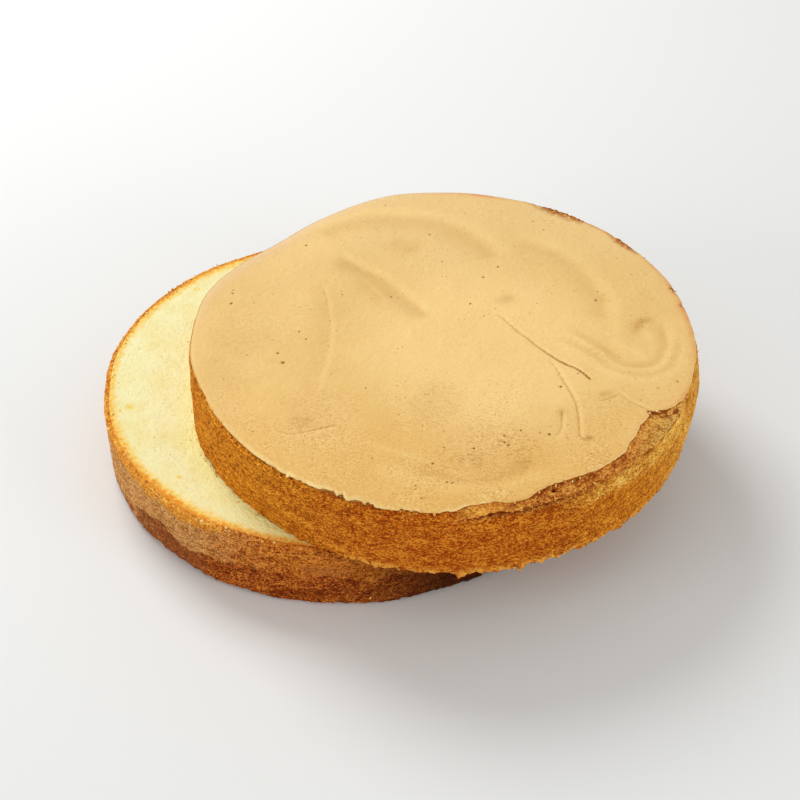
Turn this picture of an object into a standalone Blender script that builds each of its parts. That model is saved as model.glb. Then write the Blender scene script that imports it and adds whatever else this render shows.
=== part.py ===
"""A round sponge cake, cut level into two layers, with the upper layer pushed sideways over the lower one.

Units are metres and +Z is up. The origin is the middle of the lower layer's underside, and +X points the way
that the upper layer was pushed. Each layer is one closed solid. The lower layer shows its flat cut face. The
upper layer carries the baked top: a soft skin with swirls and creases, a sagging place in its rim, a stretch
of rim where the skin has torn back from a folded shoulder, and a swollen place in its side.

A place round a layer is an angle in degrees about that layer's own centre, from +X towards +Y.
"""

import math

import bmesh
import bpy
from mathutils import Vector, noise

MM = 0.001

# The tin and the cut.
TIN_RADIUS = 0.120
LOWER_HEIGHT = 0.037
UPPER_HEIGHT = 0.0375
SEAT_GAP = 0.0003
SLIDE = 0.048

# The lower layer's side, from the flat it rests on up to the cut rim.
FOOT_RADIUS = TIN_RADIUS - 5.0 * MM
FOOT_ROUND = 3.8 * MM
WALL_TAPER = 1.2 * MM
BOTTOM_EDGE = 3.0 * MM
BOTTOM_BAND = 13.0 * MM
BAND_GROOVE = 0.5 * MM

# The upper layer's outline is a little wider across the slide than along it.
UPPER_FOOT_RADIUS = TIN_RADIUS + 0.8 * MM
UPPER_TOP_RADIUS = TIN_RADIUS + 1.5 * MM
OVALNESS = 1.3 * MM
EDGE_WAVE = 0.9 * MM
EDGE_ROUND = 2.2 * MM
BELLY = 0.5 * MM

# The swollen place in the upper side: where it is, and how far it stands out at the rim, at half height and
# at the shoulder.
SWELL_ANGLE = 13.0
SWELL_SPREAD = 36.0
SWELL_RIM = 1.2 * MM
SWELL_WAIST = 2.8 * MM
SWELL_SHOULDER = 1.8 * MM

# The flattened, sagging place in the upper rim.
SAG_ANGLE = 147.0
SAG_SPREAD = 37.0
SAG_INWARD = 4.0 * MM
SAG_DOWN = 4.5 * MM
SAG_REACH = 34.0 * MM

# The folded shoulder under the torn skin.
FOLD_ANGLE = -39.0
FOLD_SPREAD = 38.0
FOLD_DEPTH = 5.5 * MM
FOLD_BELOW_TOP = 8.0 * MM
FOLD_BULGE = 0.9 * MM
SHOULDER_RISE = 4.0 * MM

# How far the skin is drawn back along the fold, and the bays in its torn edge: angle, half width in degrees,
# depth.
TORN_BACK = 5.3 * MM
SKIN_BAYS = (
    (-21.0, 13.0, 6.2 * MM),
    (-51.5, 7.0, 3.4 * MM),
)

# How finely the solids are faceted.
STEPS_ROUND = 108
TOP_RINGS = (
    (0.05, 0.11, 0.17, 0.23, 0.29, 0.35, 0.41, 0.47)
    + (0.53, 0.59, 0.65, 0.71, 0.77, 0.83, 0.885, 0.93, 0.965)
)
LOWER_WALL_LEVELS = (0.0, 0.028, 0.085, 0.19, 0.35, 0.44, 0.62, 0.81, 0.96, 1.0)

# The main swirls of the baked top, as curves about the upper layer's centre in millimetres.
VALLEY_MIDDLE = ((-73, 51), (-60, 45), (-47, 37), (-33, 28), (-16, 20))
VALLEY_BACK = ((-65, 85), (-49, 92), (-30, 94), (-13, 89), (-3, 84), (10, 72))
RIDGE_LEFT = ((-64, 22), (-54, -3), (-49, -21), (-47, -39))
RIDGE_FRONT = ((-15, -87), (2, -92), (15, -95.5), (30, -95), (43, -90), (55, -75))
CREASE_LONG = ((24, 26), (41, 7), (56, -5), (73, -15))
CREASE_HOOKED = ((56, -5), (63, -20), (71, -34), (75, -52), (79, -55), (79, -40))
SWIRL_CENTRE = (94, 29)
SWIRL_PITCH = 10.0
SWIRL_REACH = 36.0
SWIRL_HEIGHT = 0.6

# Each curve with its height and half width in millimetres; a negative height is a valley.
TOP_FEATURES = (
    (VALLEY_MIDDLE, -1.1, 7.0),
    (VALLEY_BACK, -0.9, 8.0),
    (RIDGE_LEFT, 0.8, 5.0),
    (RIDGE_FRONT, 0.7, 5.0),
    (CREASE_LONG, -0.7, 3.0),
    (CREASE_HOOKED, -0.7, 3.0),
)


def bump(x, centre, spread):
    """A smooth hump: 1 at the centre and 0 from one spread away."""
    away = min(abs(x - centre) / spread, 1.0)
    return 0.5 + 0.5 * math.cos(math.pi * away)


def smooth(x):
    """0 below 0, 1 above 1, and an easy curve between."""
    x = min(max(x, 0.0), 1.0)
    return x * x * (3.0 - 2.0 * x)


def wave(angle, phase):
    """The uneven outline of a baked edge, between about -1 and 1, closing on itself after a turn."""
    turn = math.radians(angle)
    slow = math.cos(3 * turn + phase) + math.cos(5 * turn + 2.1 * phase)
    quick = math.cos(11 * turn + 1.3 * phase) + math.cos(17 * turn + 0.7 * phase)
    return 0.3 * slow + 0.2 * quick


def signed(angle):
    """The same direction between -180 and 180 degrees."""
    return (angle + 180.0) % 360.0 - 180.0


def at(angle, radius, height, middle=0.0):
    turn = math.radians(angle)
    return Vector((middle + radius * math.cos(turn), radius * math.sin(turn), height))


def distance_to_curve(x, y, curve):
    """How far a place lies from a curve given by its points, all in millimetres."""
    nearest = math.inf
    for (ax, ay), (bx, by) in zip(curve, curve[1:]):
        dx, dy = bx - ax, by - ay
        along = ((x - ax) * dx + (y - ay) * dy) / (dx * dx + dy * dy)
        along = min(max(along, 0.0), 1.0)
        nearest = min(nearest, math.hypot(x - ax - along * dx, y - ay - along * dy))
    return nearest


def swirl(x, y):
    """Rings round the swirl's centre, fading outwards, in millimetres of height."""
    away = math.hypot(x - SWIRL_CENTRE[0], y - SWIRL_CENTRE[1])
    rings = math.cos(2 * math.pi * away / SWIRL_PITCH)
    return SWIRL_HEIGHT * rings * (1.0 - smooth(away / SWIRL_REACH))


def top_relief(x, y):
    """How far the baked top stands above its mean height at a place about the upper layer's centre."""
    x, y = x / MM, y / MM
    height = 0.9 * noise.noise(Vector((x / 55.0, y / 55.0, 2.7)))
    for curve, rise, width in TOP_FEATURES:
        height += rise * math.exp(-((distance_to_curve(x, y, curve) / width) ** 2))
    return (height + swirl(x, y)) * MM


def lower_wall(angle):
    """The lower layer's side at one angle, as radius and height from the foot up."""
    wall = []
    for level in LOWER_WALL_LEVELS:
        height = level * LOWER_HEIGHT
        if height < BOTTOM_EDGE:
            rounded = math.sqrt(1.0 - (1.0 - height / BOTTOM_EDGE) ** 2)
            radius = FOOT_RADIUS + FOOT_ROUND * rounded
        else:
            up = (height - BOTTOM_EDGE) / (LOWER_HEIGHT - BOTTOM_EDGE)
            radius = TIN_RADIUS - WALL_TAPER * (1.0 - up)
        radius -= BAND_GROOVE * bump(height, BOTTOM_BAND, 4.0 * MM)
        radius += EDGE_WAVE * wave(angle, 1.0 + level)
        wall.append((radius, height))
    return wall


def lower_layer():
    mesh = bmesh.new()
    walls = [lower_wall(step * 360.0 / STEPS_ROUND) for step in range(STEPS_ROUND)]
    rings = []
    for level in range(len(LOWER_WALL_LEVELS)):
        ring = []
        for step, wall in enumerate(walls):
            ring.append(mesh.verts.new(at(step * 360.0 / STEPS_ROUND, *wall[level])))
        rings.append(ring)
    close_between(mesh, rings)
    mesh.faces.new(reversed(rings[0]))
    mesh.faces.new(rings[-1])
    return finished("lower_layer", mesh)


def sag(angle):
    return bump(signed(angle - SAG_ANGLE), 0.0, SAG_SPREAD)


def swell(angle):
    return bump(signed(angle - SWELL_ANGLE), 0.0, SWELL_SPREAD)


def fold(angle):
    """How strongly the shoulder is folded at an angle: 1 along most of the torn stretch, 0 off it."""
    away = abs(signed(angle - FOLD_ANGLE)) / FOLD_SPREAD
    return 1.0 - smooth((away - 0.74) / 0.26)


def upper_outline(angle):
    """The upper layer's widest radius at its top, before the skin's torn bays."""
    oval = OVALNESS * math.cos(math.radians(2.0 * angle))
    uneven = EDGE_WAVE * wave(angle, 4.0) + SWELL_RIM * swell(angle) - SAG_INWARD * sag(angle)
    return UPPER_TOP_RADIUS - oval + uneven


def skin_edge(angle):
    """The radius where the skin ends: at the rounded rim, or further in where it has torn back."""
    back = EDGE_ROUND * 0.45 + TORN_BACK * fold(angle)
    for centre, spread, depth in SKIN_BAYS:
        back += depth * bump(signed(angle - centre), 0.0, spread)
    return upper_outline(angle) - back


def rim_height(angle, radius):
    """The baked top's mean height over the cut face, lower where the rim sags."""
    near_rim = smooth(1.0 - (upper_outline(angle) - radius) / SAG_REACH)
    return UPPER_HEIGHT - SAG_DOWN * sag(angle) * near_rim


def top_height(angle, radius):
    place = at(angle, radius, 0.0)
    return rim_height(angle, radius) + top_relief(place.x, place.y)


def upper_wall(angle):
    """The upper layer's side at one angle, as radius and height over its cut face, from the cut edge up."""
    foot = UPPER_FOOT_RADIUS + 0.6 * EDGE_WAVE * wave(angle, 2.5)
    rim = upper_outline(angle)
    edge = skin_edge(angle)
    top = top_height(angle, edge)
    folded, swollen = fold(angle), swell(angle)
    wall = [(foot, 0.0), (foot + 0.4 * MM, 2.0 * MM)]
    for share in (0.22, 0.42, 0.58):
        belly = (BELLY + SWELL_WAIST * swollen) * math.sin(math.pi * share)
        wall.append((foot + (rim - foot) * share + belly, share * top))
    below = top - FOLD_BELOW_TOP
    wall.append((rim + FOLD_BULGE * folded + SWELL_SHOULDER * swollen, below - 4.5 * MM))
    wall.append((rim - 0.2 * FOLD_DEPTH * folded + 0.7 * SWELL_SHOULDER * swollen, below - 1.4 * MM))
    wall.append((rim - FOLD_DEPTH * folded, below))
    wall.append((rim - 0.55 * FOLD_DEPTH * folded, below + 1.6 * MM))
    wall.append((rim - 0.3 * FOLD_DEPTH * folded, below + SHOULDER_RISE))
    wall.append((edge + 0.35 * (rim - edge) + 0.1 * EDGE_ROUND, top - 0.55 * EDGE_ROUND))
    wall.append((edge, top))
    return wall


def upper_layer():
    mesh = bmesh.new()
    seat = LOWER_HEIGHT + SEAT_GAP
    angles = [step * 360.0 / STEPS_ROUND for step in range(STEPS_ROUND)]
    walls = [upper_wall(angle) for angle in angles]
    rings = []
    for level in range(len(walls[0])):
        ring = []
        for angle, wall in zip(angles, walls):
            radius, height = wall[level]
            ring.append(mesh.verts.new(at(angle, radius, seat + height, SLIDE)))
        rings.append(ring)
    for share in reversed(TOP_RINGS):
        ring = []
        for angle in angles:
            radius = share * skin_edge(angle)
            ring.append(mesh.verts.new(at(angle, radius, seat + top_height(angle, radius), SLIDE)))
        rings.append(ring)
    close_between(mesh, rings)
    mesh.faces.new(reversed(rings[0]))
    middle = mesh.verts.new((SLIDE, 0.0, seat + top_height(0.0, 0.0)))
    inner = rings[-1]
    for step in range(STEPS_ROUND):
        mesh.faces.new((inner[step], inner[(step + 1) % STEPS_ROUND], middle))
    return finished("upper_layer", mesh)


def close_between(mesh, rings):
    """Joins each ring of vertices to the next with quads that face outwards."""
    for low, high in zip(rings, rings[1:]):
        for step in range(STEPS_ROUND):
            following = (step + 1) % STEPS_ROUND
            mesh.faces.new((low[step], low[following], high[following], high[step]))


def finished(name, mesh):
    """Turns a bmesh into a named object with smooth sides and crisp cut edges."""
    data = bpy.data.meshes.new(name)
    mesh.to_mesh(data)
    mesh.free()
    data.shade_smooth()
    data.set_sharp_from_angle(angle=math.radians(50.0))
    layer = bpy.data.objects.new(name, data)
    bpy.context.scene.collection.objects.link(layer)
    return layer


def baked(name, colour, roughness):
    """A matte baked finish."""
    material = bpy.data.materials.new(name)
    material.use_nodes = True
    shader = material.node_tree.nodes["Principled BSDF"]
    shader.inputs["Base Color"].default_value = (*colour, 1.0)
    shader.inputs["Roughness"].default_value = roughness
    shader.inputs["Metallic"].default_value = 0.0
    return material


def crumb_material():
    return baked("crumb", (0.90, 0.79, 0.39), 0.9)


def crust_material():
    return baked("crust", (0.42, 0.15, 0.03), 0.85)


def skin_material():
    return baked("skin", (0.86, 0.58, 0.22), 0.7)


def dress(layer, side, top, bottom, upward, downward):
    """Gives a layer its side finish, and other finishes where it faces up or down."""
    for material in (side, top, bottom):
        layer.data.materials.append(material)
    for face in layer.data.polygons:
        if face.normal.z > upward:
            face.material_index = 1
        elif face.normal.z < -downward:
            face.material_index = 2


def main():
    for old in list(bpy.data.objects):
        bpy.data.objects.remove(old)
    crumb, crust, skin = crumb_material(), crust_material(), skin_material()
    dress(lower_layer(), crust, crumb, crust, 0.9, 0.9)
    dress(upper_layer(), crust, skin, crumb, 0.6, 0.98)


main()
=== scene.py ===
"""Looks of a round sponge cake that was cut level into two layers, with the upper one pushed sideways.

Shapes are in millimetres about each layer's own centre, and turn into metres when a mesh is made.
Angles are in degrees from +X towards +Y. Every piece but the crumbs is one closed stack of rings of points,
from the middle of its underside, out and up its side, and back to the middle of its top.
"""

import math

import bmesh
import bpy
import numpy as np
from mathutils import Matrix, Vector, noise


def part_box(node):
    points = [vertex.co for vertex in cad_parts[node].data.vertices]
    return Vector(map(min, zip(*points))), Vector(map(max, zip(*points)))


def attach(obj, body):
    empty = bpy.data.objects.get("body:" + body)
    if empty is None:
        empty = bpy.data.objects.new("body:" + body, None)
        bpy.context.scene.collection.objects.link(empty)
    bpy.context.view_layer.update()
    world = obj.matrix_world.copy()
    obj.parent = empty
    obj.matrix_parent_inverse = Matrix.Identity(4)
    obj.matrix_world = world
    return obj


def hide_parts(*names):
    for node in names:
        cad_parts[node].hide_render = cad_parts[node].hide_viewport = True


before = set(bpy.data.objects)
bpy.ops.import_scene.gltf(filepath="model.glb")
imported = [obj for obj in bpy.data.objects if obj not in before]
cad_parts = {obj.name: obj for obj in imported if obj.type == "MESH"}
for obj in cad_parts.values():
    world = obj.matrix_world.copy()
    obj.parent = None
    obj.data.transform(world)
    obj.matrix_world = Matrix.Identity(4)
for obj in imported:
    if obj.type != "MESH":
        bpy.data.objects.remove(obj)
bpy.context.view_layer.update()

MM = 0.001

# The two layers, from the frame.
LOWER_LOW, LOWER_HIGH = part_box("lower_layer")
SEAT_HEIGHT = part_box("upper_layer")[0].z / MM
TIN_RADIUS = round((LOWER_HIGH.x - LOWER_LOW.x) / 2 / MM)
LOWER_HEIGHT = LOWER_HIGH.z / MM
SLIDE = 0.4 * TIN_RADIUS
UPPER_HEIGHT = 0.3125 * TIN_RADIUS

# Outline of the upper layer.
UPPER_FOOT_RADIUS = TIN_RADIUS + 0.8
UPPER_TOP_RADIUS = TIN_RADIUS + 1.5
OVALNESS = 1.3
EDGE_WAVE = 0.9

# Places along the upper rim, as angle and half width: the drawn-in foot, the swollen side, the sagging back,
# the torn stretch where the skin is drawn back from a folded shoulder, and where the skin's edge flaked.
DRAWN_IN = (-122, 34)
SWELL = (13, 36)
SAG = (147, 37)
TEAR = (-39, 38)
FLAKED = (-100, 27)

DRAWN_DEPTH = 1.6
SWELL_RIM = 1.2
SWELL_WAIST = 2.8
SAG_INWARD = 4
SAG_DOWN = 4.5
SAG_REACH = 34
FOLD_DEPTH = 3.7
FOLD_BELOW_TOP = 5

# The torn edge of the skin, from one end of the tear to the other: angle, how far it lies inside the rim.
TORN_EDGE = (
    (-156, 1), (-145, 1.6), (-134, 2), (-124, 1.9), (-112, 1.6), (-104, 1), (-78, 1), (-74.5, 2.3),
    (-72.4, 5), (-65.5, 6.1), (-62.9, 4), (-58.5, 4.4), (-56, 7.4), (-51.5, 8.8), (-47, 7), (-41, 5.3),
    (-32, 6.4), (-28, 8.9), (-22.4, 11.2), (-18, 10.9), (-16.5, 13.6), (-16, 10.4), (-14.1, 6.1),
    (-11.8, 3.2), (-9.4, 1.4), (-6, 0.6), (0, 1),
)

# The skin's thickness at its edge and further in, and how far its edge curls up and droops.
SKIN_THICKNESS = 0.9
LID_DEPTH = 2.6
EDGE_CURL = 0.55
EDGE_DROOP = 0.45

# Bits of sponge that stand over the skin's edge: angle, half width in degrees, height.
EDGE_LUMPS = (
    (-107, 2.6, 0.6), (-101.2, 2.2, 2), (-98.4, 1.3, 1.4), (-94.4, 1.7, 2), (-91.9, 1.3, 2.3),
    (-84.7, 1.6, 1.7), (-82.6, 0.9, 1.1), (-76.5, 1.2, 0.7), (72, 9.5, 1.6), (52.5, 5.5, 1.4),
    (31.5, 2.2, 1.1), (25.4, 0.8, 0.9),
)

# Bits that hang from the upper layer's cut foot past the lower layer: angle, half width, length.
FOOT_BURRS = ((-72.6, 1.8, 1.9), (-66, 2.5, 0.9), (-60.6, 2, 1.8), (-46, 1.6, 1), (-34, 2, 0.9))

# The lower layer's side.
FOOT_RADIUS = TIN_RADIUS - 5
FOOT_ROUND = 3.8
LOWER_TAPER = 1.2
BOTTOM_EDGE = 3

# The dark band round the bottom: how high it reaches at each angle.
BAND_TOPS = (
    (-180, 13), (-162, 10), (-150, 3), (-140, 4), (-131, 12.5), (-122, 18), (-114, 13), (-98, 15),
    (-89, 18.5), (-77, 18), (-70, 16), (-62, 18), (-40, 13), (180, 13),
)
CRUST_WIDTH = 2.4

# How fine the meshes are.
WALL_STEPS = 1120
WALL_CELL = 0.6
SKIN_CELL = 0.75


# ---------------- small tools


def bump(away, spread):
    """A smooth hump: 1 in the middle and 0 from one spread away."""
    return 0.5 + 0.5 * np.cos(np.pi * np.minimum(np.abs(away) / spread, 1))


def smooth(x):
    """0 below 0, 1 above 1, and an easy curve between."""
    x = np.clip(x, 0, 1)
    return x * x * (3 - 2 * x)


def signed(angle):
    """The same direction between -180 and 180 degrees."""
    return (angle + 180) % 360 - 180


def near(angle, place):
    """1 in the middle of a place along the rim, falling to 0 at its half width."""
    return bump(signed(angle - place[0]), place[1])


def along_rim(turn, start, run_in, end, run_out):
    """1 along a stretch of the rim, rising from 0 at its start and falling to 0 at its end."""
    return smooth((turn - start) / run_in) * smooth((end - turn) / run_out)


def polar(points):
    """The direction and the distance from the axis of each point."""
    return np.degrees(np.arctan2(points[:, 1], points[:, 0])), np.hypot(points[:, 0], points[:, 1])


def wave(angle, phase):
    """The uneven outline of a baked edge, between about -1 and 1, closing on itself after a turn."""
    turn = np.radians(angle)
    slow = np.cos(3 * turn + phase) + np.cos(5 * turn + 2.1 * phase)
    quick = np.cos(11 * turn + 1.3 * phase) + np.cos(17 * turn + 0.7 * phase)
    return 0.3 * slow + 0.2 * quick


def grain(points, size, seed, stretch=(1, 1, 1)):
    """Soft noise at each point, about -1 to 1, with features of the given size in millimetres."""
    scaled = points / (np.array(stretch) * size) + seed
    return np.fromiter((noise.noise(Vector(p)) for p in scaled), float, len(points))


def open_cells(points, size, seed, share, stretch=(1, 1, 1)):
    """Pores: 1 in the middle of an open cell, 0 at its wall. Only a share of the cells is open."""
    depth = np.zeros(len(points))
    for i, p in enumerate(points / (np.array(stretch) * size) + seed):
        away, middles = noise.voronoi(Vector(p))
        if noise.cell(middles[0] * 7.31 + Vector((seed, 3.3, 1.7))) < share:
            depth[i] = max(0, 1 - away[0] / 0.42)
    return depth


def bend(a, b, c, d, share):
    """A place on a smooth curve from b to c that comes from a and goes on to d."""
    return 0.5 * (
        2 * b + (c - a) * share + (2 * a - 5 * b + 4 * c - d) * share**2 + (3 * b - a - 3 * c + d) * share**3
    )


def rounded_curve(points, pieces=8):
    """A smooth curve through the points, as many short straight pieces."""
    points = np.array(points, float)
    ends = np.vstack([2 * points[0] - points[1], points, 2 * points[-1] - points[-2]])
    share = np.linspace(0, 1, pieces, endpoint=False)[:, None]
    runs = [bend(*four, share) for four in zip(ends, ends[1:], ends[2:], ends[3:])]
    return np.vstack(runs + [points[-1:]])


def along_curve(x, y, curve):
    """Each place's distance from a curve, the side it lies on (left is +) and its share of the way."""
    nearest = np.full(x.shape, np.inf)
    side, share = np.zeros(x.shape), np.zeros(x.shape)
    count = len(curve) - 1
    for i, ((ax, ay), (bx, by)) in enumerate(zip(curve, curve[1:])):
        dx, dy = bx - ax, by - ay
        along = np.clip(((x - ax) * dx + (y - ay) * dy) / (dx * dx + dy * dy), 0, 1)
        away = np.hypot(x - ax - along * dx, y - ay - along * dy)
        closer = away < nearest
        nearest = np.where(closer, away, nearest)
        side = np.where(closer, np.sign(dx * (y - ay) - dy * (x - ax)), side)
        share = np.where(closer, (i + along) / count, share)
    return nearest, side, share


# ---------------- meshes from rings


def ring(radius, height, angle):
    """A ring of points at the given angles, with one radius and height for all or one for each."""
    a = np.radians(angle)
    return np.column_stack([radius * np.cos(a), radius * np.sin(a), height + 0 * a])


def ring_angles(count):
    return np.arange(count) * 360 / count


def stitch(first, low_count, second, high_count):
    """Triangles between two rings of any counts, given the index of each one's first point."""
    low_ends = (np.arange(low_count) + 1) / low_count
    high_ends = (np.arange(high_count) + 1) / high_count
    order = np.argsort(np.concatenate([low_ends, high_ends - 1e-9]), kind="stable")
    steps_low = order < low_count
    low = np.cumsum(steps_low) - steps_low
    high = np.cumsum(~steps_low) - ~steps_low
    corner = np.where(steps_low, first + (low + 1) % low_count, second + (high + 1) % high_count)
    return np.column_stack([first + low % low_count, corner, second + high % high_count])


def closed_shell(bottom, under, beside, over, top):
    """Points and triangles of a body of rings, closed by a middle point at its bottom and its top height.

    The third result says of each point whether it lies under the body (0), beside it (1) or over it (2).
    """
    rings = under + beside + over
    starts = np.cumsum([0] + [len(r) for r in rings])
    inner, last = np.arange(len(rings[0])), np.arange(len(rings[-1]))
    faces = [np.column_stack([np.full(len(inner), starts[-1]), (inner + 1) % len(inner), inner])]
    for k in range(len(rings) - 1):
        faces.append(stitch(starts[k], len(rings[k]), starts[k + 1], len(rings[k + 1])))
    here, following = starts[-2] + last, starts[-2] + (last + 1) % len(last)
    faces.append(np.column_stack([here, following, np.full(len(last), starts[-1] + 1)]))
    counts = [sum(map(len, part)) for part in (under, beside, over)]
    side = np.repeat((0, 1, 2, 0, 2), counts + [1, 1])
    return np.vstack(rings + [[[0, 0, bottom]], [[0, 0, top]]]), np.vstack(faces), side


def outward(points, faces):
    """Unit normals at the points."""
    corners = points[faces]
    facing = np.cross(corners[:, 1] - corners[:, 0], corners[:, 2] - corners[:, 0])
    normals = np.zeros_like(points)
    for k in range(3):
        np.add.at(normals, faces[:, k], facing)
    return normals / np.maximum(np.linalg.norm(normals, axis=1, keepdims=True), 1e-12)


def add_object(name, data):
    made = bpy.data.objects.new(name, data)
    bpy.context.scene.collection.objects.link(made)
    return made


def make_piece(name, points, faces, marks, material):
    """A mesh object from points in millimetres, with its marks stored as point attributes."""
    data = bpy.data.meshes.new(name)
    data.from_pydata((points * MM).tolist(), [], faces.tolist())
    data.validate()
    data.shade_smooth()
    for mark, values in marks.items():
        data.attributes.new(mark, "FLOAT", "POINT").data.foreach_set("value", values.astype(np.float32))
    data.materials.append(material)
    return add_object(name, data)


def finish_upper(name, points, faces, marks, material):
    """Sets a piece of the upper layer on its seat and ties it to the frame."""
    piece = make_piece(name, points + np.array([SLIDE, 0, SEAT_HEIGHT]), faces, marks, material)
    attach(piece, "root")
    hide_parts("upper_layer")


def finish_lower(name, points, faces, marks, material):
    piece = make_piece(name, points, faces, marks, material)
    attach(piece, "root")
    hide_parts("lower_layer")


# ---------------- outline of the upper layer


def torn(angle):
    """1 along the torn stretch, 0 off it."""
    away = np.abs(signed(angle - TEAR[0])) / TEAR[1]
    return 1 - smooth((away - 0.74) / 0.26)


def lumps_at(angle, lumps):
    """The height of named lumps along an edge."""
    return np.max([rise * np.minimum(1.7 * near(angle, place), 1) for *place, rise in lumps], axis=0)


def edge_noise(angle, size, seed):
    """Soft noise along an edge, closing on itself after a turn."""
    return grain(ring(TIN_RADIUS, 0, angle), size, seed)


def edge_lumps(angle):
    """How far sponge stands over the skin's edge."""
    return lumps_at(angle, EDGE_LUMPS) * (0.75 + 0.6 * edge_noise(angle, 1.5, 5))


def upper_outline(angle):
    """The upper layer's radius at its top rim."""
    oval = OVALNESS * np.cos(np.radians(2 * angle))
    swollen = SWELL_RIM * near(angle, SWELL)
    return UPPER_TOP_RADIUS - oval + EDGE_WAVE * wave(angle, 4) - SAG_INWARD * near(angle, SAG) + swollen


def upper_foot(angle):
    """The upper layer's radius at its cut foot."""
    return UPPER_FOOT_RADIUS + 0.6 * EDGE_WAVE * wave(angle, 2.5) - DRAWN_DEPTH * near(angle, DRAWN_IN)


def skin_back(angle):
    """How far the skin's mean edge lies inside the rim."""
    return np.interp(signed(angle), *zip(*TORN_EDGE))


def skin_edge(angle):
    return upper_outline(angle) - skin_back(angle)


def torn_skin_edge(angle):
    """The skin's true edge, with its chips, tears and the lumps that stand over it."""
    ragged = 0.1 + 0.75 * near(angle, FLAKED) + 0.4 * torn(angle)
    chips = np.abs(edge_noise(angle, 6, 3.1)) + 0.5 * np.abs(edge_noise(angle, 2.4, 8.4))
    return skin_edge(angle) + 0.5 - 2.4 * ragged * chips - 1.1 * edge_lumps(angle)


def rim_height(radius, angle):
    """The baked top's mean height over the cut, lower where the rim sags."""
    near_rim = smooth(1 - (upper_outline(angle) - radius) / SAG_REACH)
    return UPPER_HEIGHT - SAG_DOWN * near(angle, SAG) * near_rim


# ---------------- relief of the baked skin

# Soft hollows and ridges in the skin: points along it, rise, half widths on its left and right, darkening
# (browning with painted shade; below 0 a painted highlight), and for some the bank beside it (how far to the
# left, how high; painted paler as a lit bank) and the height of ripples.
SOFT_FEATURES = (
    # Valleys across the middle, along the back, down the right and low in the middle.
    (((-67, 48), (-57, 44), (-45, 37.5), (-37, 33), (-27, 25), (-17, 17.5), (-8, 10)),
     -0.6, 2.6, 7, 0.55, 5, 0.15),
    (((-80, 68), (-72, 76), (-62, 83), (-50, 87), (-38, 89), (-25, 89.5), (-12, 86), (-2, 80), (7, 73),
      (12, 67)), -0.6, 4, 9, 0.34, 7, 0.2),
    (((18, 83), (31, 81), (43, 75), (53, 66), (62, 55), (68, 46), (71, 37), (72, 30)),
     -0.28, 4, 7, 0.24, 7, 0.15),
    (((-53, 35), (-45, 28), (-38, 22), (-33, 14)), -0.35, 2.5, 4, 0.3),
    # The ridge before the swirl, and a valley, a ridge and its crest near the front.
    (((66, 68), (74, 55), (79, 42), (80, 28), (84, 15), (92, 9.5), (98, 10)), 0.35, 3.5, 3.5, -0.35),
    (((8, -93), (20, -95), (33, -95), (43, -93), (50, -88), (56, -81), (60, -74)), -0.6, 2.5, 4.5, 0.3),
    (((-8, -100), (12, -102), (28, -103), (44, -100), (57, -92), (68, -83)), 0.7, 5, 5, -0.4),
    (((-18, -84), (-5, -86.5), (6, -89), (19, -91), (30, -93.5), (40, -96)), 0.3, 2, 1.2, -0.35),
    # The ridge where the long creases meet, and the shadow of the step on the left.
    (((54, -6), (58, -11), (61, -16)), 0.1, 2.6, 2, -0.8),
    (((-68, 26), (-63, 14), (-57, -2), (-53, -16), (-51, -30), (-50, -44), (-49, -58)), -0.2, 3, 6, 0.16),
    # The swirl: its hook, inner ring, outer ring and the raised oval in it.
    (((89, 19), (89.5, 26), (91, 33), (94.5, 35.5), (98.5, 33.5)), -0.45, 2.4, 2.2, 0.85),
    (((99, 33), (102.5, 27), (104, 18), (103.5, 9), (100.5, 3), (94, 0), (87, 0), (81, 4), (76, 9), (68, 14),
      (58, 19)), -0.3, 1.8, 2.6, 0.45, 3.4, 0.12, 0.04),
    (((110, 24), (110.5, 12), (107, 1), (99, -5), (90, -5.5), (82, -3), (74, 2), (65, 7), (54, 12)),
     -0.2, 2, 2.6, 0.3, 4, 0.12, 0.04),
    (((94.5, 29), (96.5, 23), (97.5, 16)), 0.6, 3.2, 3.2, -0.45),
    # Dents.
    (((78, -27), (83, -24), (88, -20)), -0.3, 2.2, 2, 0.75),
    (((64, -37), (65.5, -41), (66.5, -46)), -0.3, 2.2, 2.2, 0.9),
    (((22, 28), (24, 35), (29, 41)), -0.4, 4, 4.5, 0.6),
    (((67, 55), (70, 47), (70, 38)), -0.3, 3, 5, 0.55),
    (((-44, 72), (-34, 66), (-24, 60)), -0.4, 7, 7, 0.4),
    (((6, -34), (8, -47), (8, -62)), -0.4, 7, 7, 0.18),
    (((-55, -80), (-47, -77.5), (-38, -76)), -0.2, 3.5, 3, 0.4),
    (((31, -76), (35, -82), (31, -88)), -0.3, 5, 4, 0.4),
    (((50, -85), (56, -79.5), (62, -76)), -0.3, 4, 3.5, 0.4),
    (((77, -56.5), (80, -56), (81.5, -53)), -0.6, 1.5, 1.4, 2),
)
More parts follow.
